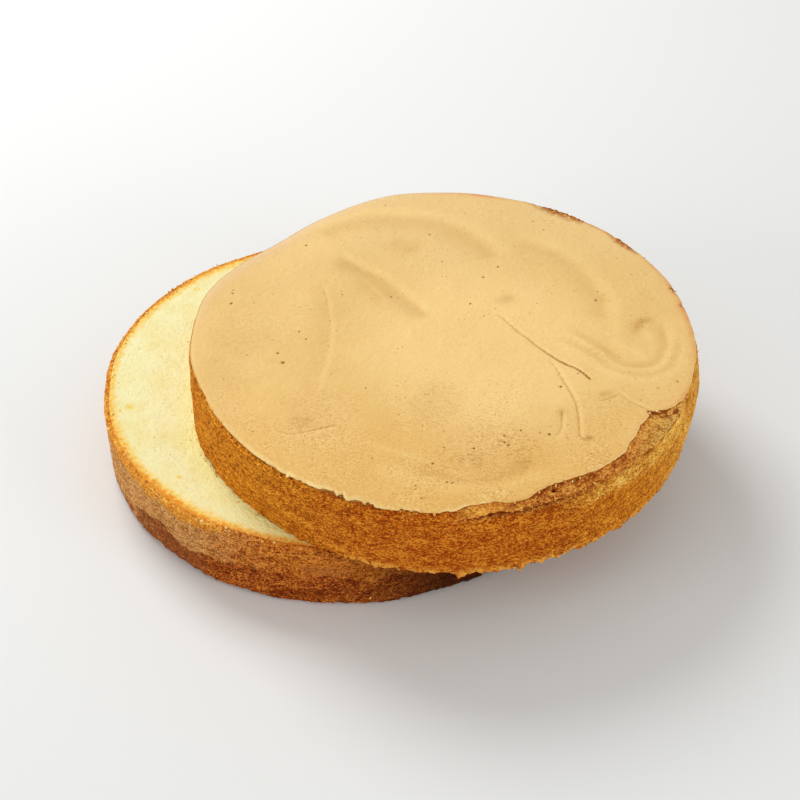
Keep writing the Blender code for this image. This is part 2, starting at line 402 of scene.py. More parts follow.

# Sharp creases: points, depth, rise of the skin on its left and right, darkness at its start and end
# (browning with painted shade in the groove), paleness of the skin beside it (a painted highlight on the lit
# lip; below 0 on its right), and the share of its length it fades in over.
SHARP_CREASES = (
    # The long crease and the hooked one that branches off it.
    (((22.5, 22.5), (26.5, 19), (33.5, 12.5), (40, 7.5), (45, 3), (50, -0.5), (56, -4.5), (66, -9),
      (71, -12.5), (74.5, -16)), 0.3, 0.5, 0.1, 0.25, 1.1, 0.6, 0.05),
    (((52, -4.5), (57, -11), (62, -19), (65.5, -24.5), (69, -31), (71.5, -37), (73.5, -44), (75, -51),
      (76.5, -56), (79, -57.5)), 0.2, 0.35, 0.1, 0.3, 0.45, 0.7, 0.12),
    # Short ones: front left, in a dent, at the right, and a scratch at the front.
    (((-59, -81), (-56.5, -86), (-50, -86.8), (-44, -83.5), (-38, -79.5), (-31.5, -75.5)),
     0.1, 0.2, 0, 0.15, 0.45, -0.35, 0.1),
    (((65, -38.5), (66.2, -46), (66.8, -52.5), (65.2, -61)), 0.15, 0.25, 0, 0.45, 0.1, 0.55, 0.2),
    (((80.5, -30), (85, -26.5), (89.5, -22)), 0.1, 0, 0.2, 0.4, 0.35, -0.3, 0.3),
    (((16.5, -90.5), (24, -90.5), (35, -89.5)), 0.05, 0, 0, 0.25, 0.15, 0, 0.2),
    # The edge of the lobe at the right, and the step on the left.
    (((87, -20), (91, -23.5), (95, -26.5), (100, -28.8), (104, -30)), 0.05, 0, 0.4, 0.1, 0.2, 0.7, 0.2),
    (((-68, 25), (-64, 18), (-60, 10), (-55.5, -2), (-51.5, -14), (-49, -27), (-47.5, -40), (-46.5, -52),
      (-45, -63)), 0.03, 0.55, 0, 0.15, 0, 0.5, 0.15),
)

# How far from a crease the skin is raised, the crease's half width, and the ripples' spacing and reach.
CREASE_REACH = 3.5
CREASE_WIDTH = 0.7
RIPPLE_SPACING = 2.3
RIPPLE_REACH = 5.5

# Open pinholes in the skin: place and half width.
PITS = (
    (-67.8, -39, 1.1), (-72.2, -32.5, 0.7), (-107.4, 7, 0.6), (-105.4, -1.5, 0.8), (-67, -15, 0.5),
    (-62.3, -19.5, 0.5), (49.5, -57.5, 0.6), (43.2, -62.8, 0.6), (44, -67, 0.7), (46.2, -68.6, 0.6),
    (31.7, -75.4, 0.7), (62.5, -57, 0.9), (16.4, -90, 0.7), (61.8, -23.6, 0.8), (67, 45.3, 0.7),
    (9.4, 50.8, 0.7), (14.8, 60.8, 0.6), (7.8, 27.6, 0.7), (-31.4, 24, 0.5), (-24.6, 79.2, 0.6),
    (-84.8, 58.3, 0.7), (25, -100, 0.6), (27.5, -99.6, 0.6), (113.9, -6.5, 0.6),
)
PIT_DEPTH = 0.5

# Where the skin is finely wrinkled: middle, half length, half width, strength.
WRINKLED = (
    (49, -68, 18, 14, 0.85), (33, -83, 12, 10, 0.75), (57, -79, 12, 8, 0.65), (42, -74, 40, 30, 0.5),
    (-47, -78, 11, 7, 0.6), (-40, -66, 30, 24, 0.4), (8, -50, 20, 22, 0.4), (76, 4, 12, 9, 0.4),
    (-92, -22, 26, 34, 0.25),
)
WRINKLE_TURN = math.radians(14)


def wrinkled_at(x, y):
    """How strongly the skin is wrinkled at each place."""
    return np.max([
        most * smooth(1.6 * bump(np.hypot((x - px) / half_length, (y - py) / half_width), 1))
        for px, py, half_length, half_width, most in WRINKLED
    ], axis=0)


def skin_relief(x, y):
    """The baked top's height over its mean, and its marks: browning with painted shade in hollows, painted
    highlight on ridges, banks and crease lips, creases and wrinkles.
    """
    flat = np.column_stack([x, y, np.zeros_like(x)])
    height = 1.3 * grain(flat, 50, 2.7) + 0.6 * grain(flat, 22, 5.2) + 0.2 * grain(flat, 9, 9.9)
    height += 0.07 * grain(flat, 3.4, 19.9)
    along = x * math.cos(WRINKLE_TURN) + y * math.sin(WRINKLE_TURN)
    across = y * math.cos(WRINKLE_TURN) - x * math.sin(WRINKLE_TURN)
    wrinkled = wrinkled_at(x, y)
    height += 0.09 * grain(np.column_stack([along, across, 0 * x]), 1.5, 40.2, (2.2, 1, 1)) * wrinkled
    drift_x, drift_y = grain(flat, 11, 61), grain(flat, 11, 67)
    patchy = 1 + 0.3 * grain(flat, 9, 71)
    brown, pale = np.zeros_like(x), np.zeros_like(x)
    for points, rise, left, right, browning, *beside in SOFT_FEATURES:
        curve = rounded_curve(points)
        away, side, share = along_curve(x + drift_x, y + drift_y, curve)
        run_in = min(0.5, 9 / np.hypot(*np.diff(curve, axis=0).T).sum())
        fade = smooth((share + 0.02) / run_in) * smooth((1.02 - share) / run_in)
        line = fade * np.exp(-((away / np.where(side > 0, left, right)) ** 2))
        height += rise * line
        # Hollows are painted browner (browning with painted shade) and ridges paler (painted highlight).
        brown = np.maximum(brown, browning * line * patchy)
        pale = np.maximum(pale, -browning * line * patchy)
        if beside:
            bank_at, bank_rise, *ripples = beside
            bank = fade * np.exp(-(((away * side - bank_at) / (0.6 * bank_at)) ** 2))
            height += bank_rise * bank
            # The bank is painted paler: a painted highlight on the lit slope.
            pale = np.maximum(pale, 0.35 * bank)
            for ripple in ripples:
                waves = np.cos(2 * np.pi * away / RIPPLE_SPACING) * np.exp(-((away / RIPPLE_REACH) ** 2))
                height += ripple * fade * waves
    jitter_x, jitter_y = 0.3 * grain(flat, 2.2, 81), 0.3 * grain(flat, 2.2, 83)
    nearest, dark = np.full_like(x, CREASE_REACH), np.zeros_like(x)
    for points, depth, left, right, start, end, lip_highlight, run_in in SHARP_CREASES:
        curve = rounded_curve(points)
        away, side, share = along_curve(x + 0.3 * drift_x + jitter_x, y + 0.3 * drift_y + jitter_y, curve)
        fade = smooth((share + 0.02) / run_in) * smooth((1.01 - share) / run_in)
        height += fade * np.where(side > 0, left, right) * np.exp(-away / CREASE_REACH)
        height -= fade * depth * np.exp(-((away / CREASE_WIDTH) ** 2))
        # The lip beside a crease is painted paler: a painted highlight.
        beside = fade * np.exp(-(((away * side * np.sign(lip_highlight) - 1.4) / 0.9) ** 2))
        pale = np.maximum(pale, np.abs(lip_highlight) * beside)
        # Darkness along a crease: browning with painted shade in the groove.
        dark = np.where(away < nearest, fade * (start + (end - start) * share**1.5), dark)
        nearest = np.minimum(away, nearest)
    return height, {
        "hollow_browning_and_shade": np.clip(brown, 0, 1.5),
        "painted_highlight": np.clip(pale, 0, 1),
        "crease_away": nearest,
        "crease_dark": dark,
        "wrinkled": wrinkled,
    }


# Tints near the skin's rim: angle, half width in degrees, reach from the edge, strength.
RIM_TINTS = {
    "blushed": ((95, 14, 5, 1), (58, 32, 3, 1), (22, 20, 4.5, 0.9), (-7, 9, 4, 0.5)),
    "pale_rim": ((150, 50, 9, 1), (110, 16, 6, 0.4)),
    "browned": ((72, 10.5, 6, 1), (52.5, 7, 4.4, 1), (31.5, 2.6, 2.6, 1), (25.4, 1.2, 2.2, 1)),
    "lit_rim": ((-108, 32, 3.2, 0.75), (-72, 8, 2.4, 0.7), (-30, 22, 1.6, 0.35)),
}


def rim_tint(angle, inside, patches):
    """The strongest of some patches at each place, by its angle and its distance from the skin's edge."""
    return np.max([
        strength * smooth(1 - inside / reach) * near(angle, place) ** 0.6
        for *place, reach, strength in patches
    ], axis=0)


def lid_bottom(radius, angle):
    """Height where the skin's underside meets the sponge: thin at the edge and thicker further in."""
    inside = np.maximum(skin_edge(angle) - radius, 0)
    depth = SKIN_THICKNESS + (LID_DEPTH - SKIN_THICKNESS) * smooth((inside - 3) / 10)
    return rim_height(radius, angle) - depth


# Rings under the skin, from its edge inwards: share of the mean edge radius, number of points.
LID_RINGS = (
    (0.992, 1120), (0.98, 1120), (0.965, 560), (0.94, 560), (0.9, 280), (0.8, 140), (0.6, 70), (0.3, 35),
)


def lid_rings(lift):
    rings = []
    for share, count in LID_RINGS:
        angle = ring_angles(count)
        radius = share * skin_edge(angle)
        rings.append(ring(radius, lid_bottom(radius, angle) + lift, angle))
    return rings


LID_MIDDLE = lid_bottom(np.zeros(1), np.zeros(1))[0]


def make_upper_skin(skin):
    """The thin baked skin: fine rings on top, a torn edge, and a plain bed underneath."""
    angle = ring_angles(WALL_STEPS)
    edge = torn_skin_edge(angle)
    sides, rings = [], []
    for inward, share in ((0.3, 1), (0.05, 0.7), (0, 0.45)):
        sides.append(ring(edge - inward, rim_height(edge, angle) - share * SKIN_THICKNESS, angle))
    count = int(TIN_RADIUS / SKIN_CELL)
    for k in range(count, 0, -1):
        share = k / count
        steps = int(2 * math.pi * share * TIN_RADIUS / SKIN_CELL)
        angle = ring_angles(WALL_STEPS if k > count - 4 else steps)
        mean, edge = skin_edge(angle), torn_skin_edge(angle)
        radius = share * mean + (edge - mean) * smooth((share - 0.93) / 0.06)
        rings.append(ring(radius, rim_height(radius, angle), angle))
    top = rim_height(np.zeros(1), np.zeros(1))[0]
    points, faces, side = closed_shell(LID_MIDDLE, lid_rings(0)[::-1], sides, rings, top)
    x, y = points[:, 0], points[:, 1]
    turn, radius = polar(points)
    inside = torn_skin_edge(turn) - radius
    is_bed, is_top = side == 0, side == 2
    relief, marks = skin_relief(x, y)
    relief *= 0.45 + 0.55 * smooth(inside / 9)
    curl = EDGE_CURL * (near(turn, FLAKED) + 0.5 * torn(turn)) * np.exp(-((inside - 1.2) ** 2) / 1.6)
    droop = EDGE_DROOP * np.exp(-inside / 0.8)
    points[:, 2] += np.where(is_bed, 0, relief + curl) - np.where(is_top, droop, 0)
    pitted = np.zeros(len(points))
    for px, py, size in PITS:
        away = np.where(is_top, np.hypot(x - px, y - py), np.inf)
        dip = np.exp(-((away / size) ** 2))
        dip[np.argmin(away)] = 1
        pitted = np.maximum(pitted, dip)
    points[:, 2] -= PIT_DEPTH * pitted
    forward = (x * math.sin(WRINKLE_TURN) - y * math.cos(WRINKLE_TURN)) / TIN_RADIUS
    marks |= {name: rim_tint(turn, inside, patches) for name, patches in RIM_TINTS.items()}
    marks |= {
        "underside": is_bed,
        "edge": side == 1,
        # A painted pool of light over the middle of the top.
        "painted_light_pool": smooth(1.3 * bump(np.hypot(x - 22, y + 6), 100)),
        "far": 0.75 * smooth(0.55 * (y - 0.35 * x) / TIN_RADIUS + 0.25),
        # Warmer and darker towards the front: toasting, and painted shade on the front of the top.
        "front_toast_and_shade": smooth(forward / 0.95 - 0.12),
        "pitted": pitted,
    }
    finish_upper("upper_skin", points, faces, marks, skin)


# ---------------- the upper sponge


def fold_at(angle):
    """How strongly the shoulder is folded: about 1 along most of the tear, weak at its right end."""
    fading = 0.3 + 0.7 * smooth((-16 - angle) / 22)
    return torn(angle) * fading * (0.95 + 0.4 * edge_noise(angle, 11, 17))


def upper_wall_nodes(angle):
    """Radii and heights of the turning points of the upper side at each angle, from the cut edge up."""
    foot, rim, back = upper_foot(angle), upper_outline(angle), skin_back(angle)
    fold, swollen, lump = fold_at(signed(angle)), near(angle, SWELL), edge_lumps(angle)
    edge, crease = rim - back, FOLD_DEPTH * fold
    top = rim_height(edge, angle) - SKIN_THICKNESS
    below = top + SKIN_THICKNESS - FOLD_BELOW_TOP
    nodes = [(foot, 0 * foot), (foot + 0.4, 2 + 0 * foot)]
    for share in (0.22, 0.42, 0.58):
        belly = (0.5 + SWELL_WAIST * swollen) * math.sin(math.pi * share)
        nodes.append((foot + (rim - foot) * share + belly, share * top))
    return nodes + [
        (rim + 0.7 * fold + 1.8 * swollen, below - 5.5),
        (rim - 1.2 * fold + 1.2 * swollen, below - 1.2),
        (rim - crease, below),
        (rim - 0.7 * crease, below + 0.8),
        (rim - 0.75 * crease - 0.15 * (back - 1), below + 2.5),
        (rim - 0.72 * back, top - 0.6 + lump),
        (edge + 0.3 - 0.4 * lump, top + 0.9 * lump),
    ]


# How many rings lie between one turning point of the upper side and the next.
WALL_RUNS = (4, 10, 12, 10, 6, 6, 6, 5, 5, 6, 3)

# Colours of the upper side: angle and half width of the golden band above the fold, the tan ridge and the
# dusky stretch; burnt patches with their strength; the ruddy stretch and the pale right end, each as start,
# run in, end and run out; and a small deep hole (angle, radius, height over the cut), painted dark as shade.
BRIGHT_BAND = (-69, 12)
TAN_RIDGE = (-16, 20)
DUSKY = (-52, 14)
SCORCHED_PATCHES = ((-62, 3.5, 0.5), (-54, 5.5, 0.75), (-45, 5, 0.75), (-35, 5, 0.65), (-14, 5, 1))
RUDDY = (-125, 40, -26, 40)
RIGHT_END = (-34, 24, 46, 34)
HOLE = (-52.3, 116, 36.1)
HOLE_WIDTH = 1.1
HOLE_DEPTH = 1.3

# Rings of a cut underside, from the middle outwards: share of the foot radius, number of points.
UNDER_RINGS = (
    (0.2, 35), (0.4, 70), (0.6, 140), (0.75, 280), (0.86, 560), (0.93, 560), (0.97, 1120), (0.99, 1120),
)


def through_nodes(nodes, runs):
    """Rows of radii and heights along a smooth profile through its nodes, one row for each ring."""
    nodes = np.array([nodes[0], *nodes, nodes[-1]])
    return [bend(*nodes[k:k + 4], i / run) for k, run in enumerate(runs) for i in range(run)] + [nodes[-1]]


def past_the_lower(angle):
    """1 where the upper layer's foot hangs past the lower layer, 0 where it rests on it."""
    foot = ring(upper_foot(angle), 0, angle)
    return smooth((np.hypot(SLIDE + foot[:, 0], foot[:, 1]) - TIN_RADIUS - 1) / 4)


def make_upper_sponge(crust):
    """The upper layer's browned side, folded shoulder and cut underside, up to the bed of the skin."""
    under = [ring(share * upper_foot(ring_angles(n)), 0, ring_angles(n)) for share, n in UNDER_RINGS]
    angle = ring_angles(WALL_STEPS)
    wall = [ring(*row, angle) for row in through_nodes(upper_wall_nodes(angle), WALL_RUNS)]
    points, faces, side = closed_shell(0, under, wall, lid_rings(0.05), LID_MIDDLE)
    normals = outward(points, faces)
    on_wall = (side == 1).astype(float)
    turn, radius = polar(points)
    height = points[:, 2]
    fold, past, scorch = torn(turn), past_the_lower(turn), lumps_at(turn, SCORCHED_PATCHES)
    over_fold = height - UPPER_HEIGHT + FOLD_BELOW_TOP
    shoulder = fold * smooth((over_fold + 1.5) / 1.5)

    lumps = 0.3 * grain(points, 13, 1.7) + 0.25 * grain(points, 5, 4.4, (1.3, 1.3, 0.8))
    lumps += shoulder * (0.8 * grain(points, 7, 2.2) + 0.45 * grain(points, 2.6, 6.1))
    pores = open_cells(points, 2, 0.4, 0.35, (1.4, 1.4, 0.6))
    fine = grain(points, 1.3, 7.7, (1.2, 1.2, 0.8))
    foot = on_wall * (1 - smooth(height / 2.4))
    rise = on_wall * (lumps - 0.45 * pores + 0.2 * fine)
    rise += foot * (0.8 * grain(points, 3.4, 12.5) + 0.6 * grain(points, 1.7, 3.9))
    rise -= (1 - on_wall) * (height < 1) * 0.25 * (pores + fine)
    moved = points + normals * rise[:, None]
    ragged = np.column_stack([points[:, 0], points[:, 1], 0 * turn])
    hanging = 1.3 * np.abs(grain(ragged, 4.5, 31)) + 2 * np.abs(grain(ragged, 2.1, 33))
    hanging += lumps_at(turn, FOOT_BURRS) * (0.9 + 1.1 * grain(ragged, 1.8, 35))
    moved[:, 2] -= foot * (past * hanging + (1 - past) * 0.3)
    hole_away = np.linalg.norm(points - ring(HOLE[1], HOLE[2], np.array([HOLE[0]])), axis=1)
    hole = on_wall * np.exp(-((hole_away / HOLE_WIDTH) ** 2))
    moved -= HOLE_DEPTH * normals * hole[:, None]

    to_edge = np.hypot(radius - skin_edge(turn), height - rim_height(skin_edge(turn), turn))
    # Darker just under the skin's edge: painted shade where the skin overhangs the side, with real scorching
    # on the scorched patches.
    near_skin = (0.4 - 0.2 * fold + 1.5 * scorch) * np.exp(-to_edge / (1.2 + 1.6 * scorch))
    crease_away = np.hypot(radius - upper_outline(turn) + FOLD_DEPTH * fold_at(turn), over_fold)
    # Darker along the fold's crease: a browner line with painted shade in the groove.
    creased = fold * np.exp(-((crease_away / 0.75) ** 2)) * (0.55 + 0.6 * smooth((-40 - turn) / 12))
    creased *= 1 + 0.7 * edge_noise(turn, 6, 44)
    above = fold * smooth(over_fold - 0.3)
    below_fold = bump(over_fold + 3.2, 4.5 + 9 * smooth((turn + 40) / 26))
    below_fold = smooth((turn + 54) / 12) * fold * below_fold
    right_end = along_rim(turn, *RIGHT_END) * (0.15 + 0.6 * smooth((turn + 24) / 16))
    marks = {
        "cut": np.where(on_wall > 0.5, past * (1 - smooth((height - 0.6) / 3.4)), 1),
        "ruddy": on_wall * along_rim(turn, *RUDDY),
        "dusky": shoulder * near(turn, DUSKY) ** 0.5,
        "torn": shoulder,
        "bright_band": above * near(turn, BRIGHT_BAND) ** 0.5,
        "ridge": above * near(turn, TAN_RIDGE) * bump(over_fold - 1.8, 2.6) ** 0.7,
        "golden": np.maximum(below_fold, right_end),
        # Scorching, with painted shade under the skin's edge and in the fold's crease.
        "scorch_and_shade": on_wall * np.clip(np.maximum(near_skin, creased), 0, 1),
        "hole": hole,
        # Painted shade in the pores and between the lumps.
        "hollow_shade": np.clip(pores * on_wall - 0.4 * lumps, 0, 1),
    }
    finish_upper("upper_sponge", moved, faces, marks, crust)


# ---------------- the lower layer

# Rings of the crust's cut top (inwards from the rim, up from the cut) and of the bed under the cut crumb.
RIM_STEPS = (
    (0.15, -1.2), (0.45, -0.7), (0.9, -0.3), (1.5, -0.05), (2.1, 0), (2.7, -0.1), (3.3, -0.4), (4, -0.9),
    (4.8, -1.4),
)
BED_RINGS = ((0.93, 560), (0.85, 280), (0.7, 140), (0.5, 70), (0.25, 35))
BED_DEPTH = 1.4

# Stretches of the lower side, each as start, run in, end and run out: where the orange rim fades, where the
# side is painted browner and darker as shade under the upper layer's overhang, and where it is painted dark
# as shade right under it.
FADED_RIM = (-110, 14, 110, 20)
OVERHANG_SHADE = (-120, 34, 60, 30)
SHADED = (-84, 36, 50, 30)
DULL_PATCH = (-80, 11)


def lower_outline(angle, level=1):
    """How far the lower side strays from the tin's radius, at a level from 0 at its foot to 1 at its cut."""
    return EDGE_WAVE * wave(angle, 1 + level)


def lower_profile():
    """The lower side's profile as radii and heights from the flat it rests on up to the cut rim."""
    rows = []
    for share in np.linspace(0, 1, 7)[:-1]:
        height = BOTTOM_EDGE * share**1.5
        rounded = math.sqrt(1 - (1 - height / BOTTOM_EDGE) ** 2)
        rows.append((FOOT_RADIUS + FOOT_ROUND * rounded, height))
    for height in np.arange(BOTTOM_EDGE, LOWER_HEIGHT - 1.8, WALL_CELL):
        up = (height - BOTTOM_EDGE) / (LOWER_HEIGHT - BOTTOM_EDGE)
        rows.append((TIN_RADIUS - LOWER_TAPER * (1 - up), height))
    return rows


def make_lower_sponge(crust):
    """The lower layer's browned side, underside and rim."""
    under = [ring(share * FOOT_RADIUS, 0, ring_angles(n)) for share, n in UNDER_RINGS]
    angle = ring_angles(WALL_STEPS)
    wall = [ring(r + lower_outline(angle, z / LOWER_HEIGHT), z, angle) for r, z in lower_profile()]
    for inward, up in RIM_STEPS:
        wall.append(ring(TIN_RADIUS - inward + lower_outline(angle), LOWER_HEIGHT + up, angle))
    bed = LOWER_HEIGHT - BED_DEPTH
    over = [ring(share * TIN_RADIUS, bed, ring_angles(n)) for share, n in BED_RINGS]
    points, faces, side = closed_shell(0, under, wall, over, bed)
    normals = outward(points, faces)
    turn, radius = polar(points)
    height = points[:, 2]
    inward = TIN_RADIUS + lower_outline(turn) - radius
    on_wall = ((side == 1) & (inward < CRUST_WIDTH + 1)).astype(float)
    rim = smooth((height - LOWER_HEIGHT + 8.5 + 2.5 * grain(points, 9, 41)) / 7.5)
    rim *= 1 - 0.8 * along_rim(turn, *FADED_RIM)
    cut_edge = smooth((height - LOWER_HEIGHT + 1.6) / 1.2)
    band_top = np.interp(turn, *zip(*BAND_TOPS))
    fading = 1 - 0.4 * smooth((-116 - turn) / 16)
    band = fading * (1 - smooth((height - band_top + 2.5 * grain(points, 12, 3.3)) / 5 + 0.3))
    lumps = 0.35 * grain(points, 15, 11.7) + 0.25 * grain(points, 5, 14.4, (1.4, 1.4, 0.7))
    rough = 0.5 * grain(points, 3.4, 12.2) + 0.35 * grain(points, 1.8, 16.1)
    rough *= 0.35 + 0.65 * band + 0.5 * rim
    pores = open_cells(points, 2.1, 5.4, 0.45, (1.3, 1.3, 0.7))
    fine = grain(points, 1.3, 17.7, (1.2, 1.2, 0.8))
    rise = lumps * (1 - 0.5 * rim) + rough - 0.4 * pores + 0.18 * fine
    moved = points + normals * (on_wall * (1 - 0.75 * cut_edge) * rise)[:, None]
    moved[:, 2] = np.maximum(moved[:, 2], 0)
    marks = {
        "band": band * on_wall,
        "rim": rim,
        "inward": inward,
        # Painted shade in the pores and between the lumps.
        "hollow_shade": np.clip(pores * on_wall - 0.4 * rough, 0, 1) * (1 - cut_edge),
        # Painted shade under the upper layer's overhang.
        "overhang_shade": along_rim(turn, *OVERHANG_SHADE),
        "shaded": along_rim(turn, *SHADED),
        "dull_patch": near(turn, DULL_PATCH) * bump(height - 23, 8),
    }
    finish_lower("lower_sponge", moved, faces, marks, crust)


# The cut crumb: how fine it is, how far its fine part reaches under the upper layer, its coarse middle rings
# (share of the covered radius, number of points), and where its baked fringe is wider and narrower.
CUT_STEPS = 840
CUT_RINGS = 96
HIDDEN_MARGIN = 4
MIDDLE_RINGS = ((0.25, 35), (0.5, 70), (0.75, 210), (0.94, 420))
NARROW_FRINGE = (-170, 38)
WIDE_FRINGE = (-118, 22)

# Toasted or yolky spots in the cut crumb: place, half width, and how brown.
CRUMB_SPOTS = (
    (-97, -46.5, 1.9, 0.45), (-107, -51.5, 0.9, 0.6), (-100.5, -50.5, 0.8, 0.6), (-57, -88, 1.3, 0.5),
    (-52, -82.5, 2.4, 0.2), (-96, 52, 1.8, 0.4), (-88, 73.5, 1, 0.8), (-83.5, 75.5, 1, 0.7),
    (-112.5, 28.5, 0.9, 0.55), (-79, -40, 2.4, 0.12), (-74, -62, 2, 0.12), (-105, 14, 0.8, 0.35),
)


def open_side(count):
    """Ring angles drawn towards -X, where the cut face shows, so that the mesh is finest there."""
    angle = ring_angles(count)
    return angle + 0.5 * np.degrees(np.sin(np.radians(angle)))


def hidden_radius(angle):
    """How far from the lower centre the upper layer covers the cut face, less a margin."""
    a = np.radians(angle)
    cover = UPPER_FOOT_RADIUS - HIDDEN_MARGIN
    reach = SLIDE * np.cos(a) + np.sqrt(cover**2 - (SLIDE * np.sin(a)) ** 2)
    return np.minimum(reach, TIN_RADIUS - 6)


def make_cut_crumb(crumb):
    """The pale cut crumb of the lower layer: a slab let into the rim, finest where it shows."""
    angle = open_side(CUT_STEPS)
    edge = TIN_RADIUS - 2.6 + lower_outline(angle) + 0.5 * edge_noise(angle, 3, 21)
    inner = hidden_radius(angle)
    bed = LOWER_HEIGHT - BED_DEPTH + 0.05

    def middle_rings(height):
        return [ring(s * hidden_radius(open_side(n)), height, open_side(n)) for s, n in MIDDLE_RINGS]

    corners = ((inner, bed), (edge - 0.6, bed), (edge + 0.1, LOWER_HEIGHT - 0.8))
    sides = [ring(*corner, angle) for corner in corners]
    rings = []
    for k in range(CUT_RINGS, -1, -1):
        radius = inner + (edge - inner) * k / CUT_RINGS
        rings.append(ring(radius, LOWER_HEIGHT + 0.1 - 0.15 * np.exp(-(edge - radius) / 0.3), angle))
    rings += middle_rings(LOWER_HEIGHT)[::-1]
    points, faces, side = closed_shell(bed, middle_rings(bed), sides, rings, LOWER_HEIGHT)
    x, y = points[:, 0], points[:, 1]
    is_top = side == 2
    pores = open_cells(points, 1.9, 25.4, 0.3)
    small = open_cells(points, 1.1, 27.9, 0.35)
    seat = np.hypot(x - SLIDE, y) - UPPER_FOOT_RADIUS
    turn, radius = polar(points)
    inward = TIN_RADIUS + lower_outline(turn) - radius
    rough = 1 + 1.2 * np.exp(-np.abs(seat) / 5) - 0.6 * smooth((6 - inward) / 3)
    relief = 0.14 * grain(points, 9, 23.7) + 0.09 * grain(points, 3, 24.4) + 0.05 * grain(points, 1.2, 26)
    open_here = smooth((inward - 4) / 4)
    points[:, 2] += is_top * rough * (relief - 0.1 - open_here * (0.22 * pores + 0.14 * small))
    spots = np.zeros(len(points))
    for px, py, size, brown in CRUMB_SPOTS:
        away = (1 + 0.6 * grain(points, 1.6, px)) * np.hypot(x - px, y - py) / size
        spots = np.maximum(spots, brown * smooth(1.4 - 0.8 * away))
    fringe = inward + 1.4 * near(turn, NARROW_FRINGE) - 0.9 * near(turn, WIDE_FRINGE)
    finish_lower("cut_crumb", points, faces, {"fringe": fringe, "seat": seat, "spots": spots}, crumb)


# ---------------- loose crumbs


def crumb_ball():
    """A rounded lump of unit size: points and triangles."""
    shape = bmesh.new()
    bmesh.ops.create_icosphere(shape, subdivisions=2, radius=1)
    points = np.array([v.co for v in shape.verts])
    faces = np.array([[v.index for v in f.verts] for f in shape.faces])
    shape.free()
    return points, faces


def crumb_places(draw):
    """Where crumbs lie: arrays of places, half sizes and how brown each one is."""
    places, sizes, tints = [], [], []
    skin_top = SEAT_HEIGHT + UPPER_HEIGHT

    def pick(count, *ranges):
        return [draw.uniform(low, high, count) for low, high in ranges]

    def scatter(angle, radius, height, size, tint, centre=0):
        places.append(ring(radius, height, angle) + np.array([centre, 0, 0]))
        for given, (low, high), power in ((sizes, size, 2.5), (tints, tint, 1)):
            given.append(low + (high - low) * draw.random(len(angle)) ** power)

    # On the cut rim of the lower layer.
    angle, inward = pick(190, (60, 300), (0.2, 4.2))
    scatter(angle, TIN_RADIUS + lower_outline(angle) - inward, LOWER_HEIGHT + 0.05, (0.22, 0.75), (0, 0.75))

    # On the lower side, more of them low down.
    angle, level = pick(90, (0, 360), (0, 1))
    height = 1 + (LOWER_HEIGHT - 3) * level**1.3
    radius = FOOT_RADIUS + FOOT_ROUND + LOWER_TAPER * height / LOWER_HEIGHT + lower_outline(angle, 0.5)
    scatter(angle, radius, height, (0.22, 0.7), (0.2, 1))

    # Along the seat line, where the upper layer was pushed over the cut.
    (angle,) = pick(80, (115, 245))
    radius = upper_foot(angle) + np.abs(draw.normal(0, 1.4, 80)) + 0.2
    scatter(angle, radius, LOWER_HEIGHT + 0.1, (0.2, 0.6), (0, 0.6), SLIDE)

    # Over the cut face.
    angle, share = pick(60, (105, 255), (0.72, 0.97))
    scatter(angle, TIN_RADIUS * share, LOWER_HEIGHT - 0.02, (0.18, 0.42), (0, 0.35))

    # On the skin's edge, with one large one on its own.
    angle = TEAR[0] - 20 + 60 * draw.normal(0, 1, 70)
    radius = torn_skin_edge(angle) + draw.uniform(-0.8, 1.6, 70)
    scatter(angle, radius, SEAT_HEIGHT + rim_height(radius, angle) - 0.3, (0.25, 0.8), (0.1, 0.8), SLIDE)
    scatter(np.array([-111]), 121, skin_top, (0.9, 0.95), (0, 0.1), SLIDE)

    # On the torn shoulder.
    turn, stray, down = pick(60, (-0.85, 0.85), (-0.6, 0.6), (2, 7))
    angle = TEAR[0] + turn * TEAR[1]
    scatter(angle, upper_outline(angle) - 2.6 + stray, skin_top - down, (0.3, 0.8), (0.45, 1), SLIDE)

    # Hanging from the foot of the upper layer.
    angle, inward, up = pick(90, (-95, 95), (-0.4, 1.6), (-0.9, 0.6))
    scatter(angle, upper_foot(angle) - inward, SEAT_HEIGHT + up, (0.3, 0.9), (0.1, 0.6), SLIDE)

    # Round the bottom edge.
    angle, stray, height = pick(110, (0, 360), (-0.6, 1.6), (0.3, 2.2))
    scatter(angle, FOOT_RADIUS + 1.4 + lower_outline(angle, 0) + stray, height, (0.25, 0.8), (0.3, 1))
    return np.vstack(places), np.concatenate(sizes), np.concatenate(tints)


def make_crumbs(material):
    """Crumbs on the rims, the sides and the cut, each a lump of its own shape."""
    draw = np.random.default_rng(5)
    ball, ball_faces = crumb_ball()
    points, faces, browned = [], [], []
    for k, (place, size, tint) in enumerate(zip(*crumb_places(draw))):
        lumpy = 1 + 0.35 * grain(ball, 0.8, 3.7 * k)
        squashed = draw.uniform(0.6, 1.2, 3) * size
        points.append(place + ball * lumpy[:, None] * squashed)
        faces.append(ball_faces + k * len(ball))
        browned.append(np.full(len(ball), tint))
    points = np.vstack(points)
    points[:, 2] = np.maximum(points[:, 2], 0)
    marks = {"browned": np.concatenate(browned)}
    piece = make_piece("loose_crumbs", points, np.vstack(faces), marks, material)
    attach(piece, "root")


# ---------------- materials


def tone(red, green, blue):
    """A linear colour from display values between 0 and 255."""
    shown = np.array([red, green, blue]) / 255
    linear = np.where(shown <= 0.04045, shown / 12.92, ((shown + 0.055) / 1.055) ** 2.4)
    return (*linear.tolist(), 1.0)


